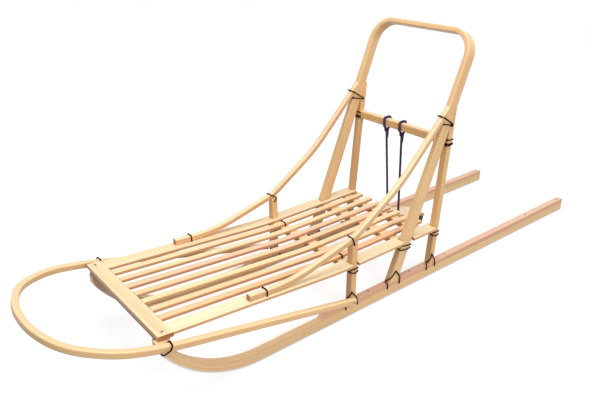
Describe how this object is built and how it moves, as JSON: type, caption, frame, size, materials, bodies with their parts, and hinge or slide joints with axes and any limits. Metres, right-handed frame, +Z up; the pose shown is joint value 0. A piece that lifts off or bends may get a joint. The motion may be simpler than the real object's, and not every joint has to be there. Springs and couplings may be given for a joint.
{
  "type": "child sled",
  "caption": "Lashed wooden basket sled on long runners: slatted bed, bent handrails, brush bow ahead of the nose, leaning driving bow to hold and a roped-up brake board behind.",
  "frame": {"origin": "on the floor under the middle of the sled's length and width, at the underside of the runners", "axes": "+X forward to the nose and brush bow, +Y to the driver's left, +Z up"},
  "size_m": [2.029, 0.5392, 0.7963],
  "materials": {
    "ash": "satin varnish on pale straight-grained ash",
    "rail_wood": "satin varnish on a redder wood",
    "shoe": "smooth white sliding plastic",
    "claw_steel": "dull dark steel",
    "lashing_cord": "tight twisted dark cord",
    "hitch_rope": "braided dark blue rope"
  },
  "bodies": {
    "root": {"runner_left": "ash", "runner_right": "ash", "front_stanchion_left": "ash", "front_stanchion_right": "ash", "rear_stanchion_left": "ash", "rear_stanchion_right": "ash", "handrail_left": "ash", "handrail_right": "ash", "side_slat_left": "ash", "side_slat_right": "ash", "driving_bow": "ash", "bed_crosspiece_front": "ash", "bed_crosspiece_middle": "ash", "bed_crosspiece_rear": "ash", "crossbar": "ash", "nose_board": "ash", "nose_under_board": "ash", "brush_bow": "ash", "brush_block_left": "ash", "brush_block_right": "ash", "brake_board": "ash", "bed_slat_1": "ash", "bed_slat_2": "ash", "bed_slat_3": "ash", "bed_slat_4": "ash", "bed_slat_5": "ash", "bed_slat_6": "ash", "bed_slat_7": "ash", "runner_rail_left": "rail_wood", "runner_rail_right": "rail_wood", "runner_shoe_left": "shoe", "runner_shoe_right": "shoe", "foot_lashing_left": "lashing_cord", "foot_lashing_right": "lashing_cord", "bed_lashing_left": "lashing_cord", "bed_lashing_right": "lashing_cord", "handrail_front_lashing_left": "lashing_cord", "handrail_front_lashing_right": "lashing_cord", "handrail_post_lashing_left": "lashing_cord", "handrail_post_lashing_right": "lashing_cord", "bow_lashing_left": "lashing_cord", "bow_lashing_right": "lashing_cord", "crossbar_lashing_left": "lashing_cord", "crossbar_lashing_right": "lashing_cord", "brush_bow_lashing_left": "lashing_cord", "brush_bow_lashing_right": "lashing_cord", "slat_lashing": "lashing_cord", "brake_lashing": "lashing_cord", "hitch_rope_left": "hitch_rope", "hitch_rope_right": "hitch_rope", "brake_claw": "claw_steel"}
  },
  "joints": []
}
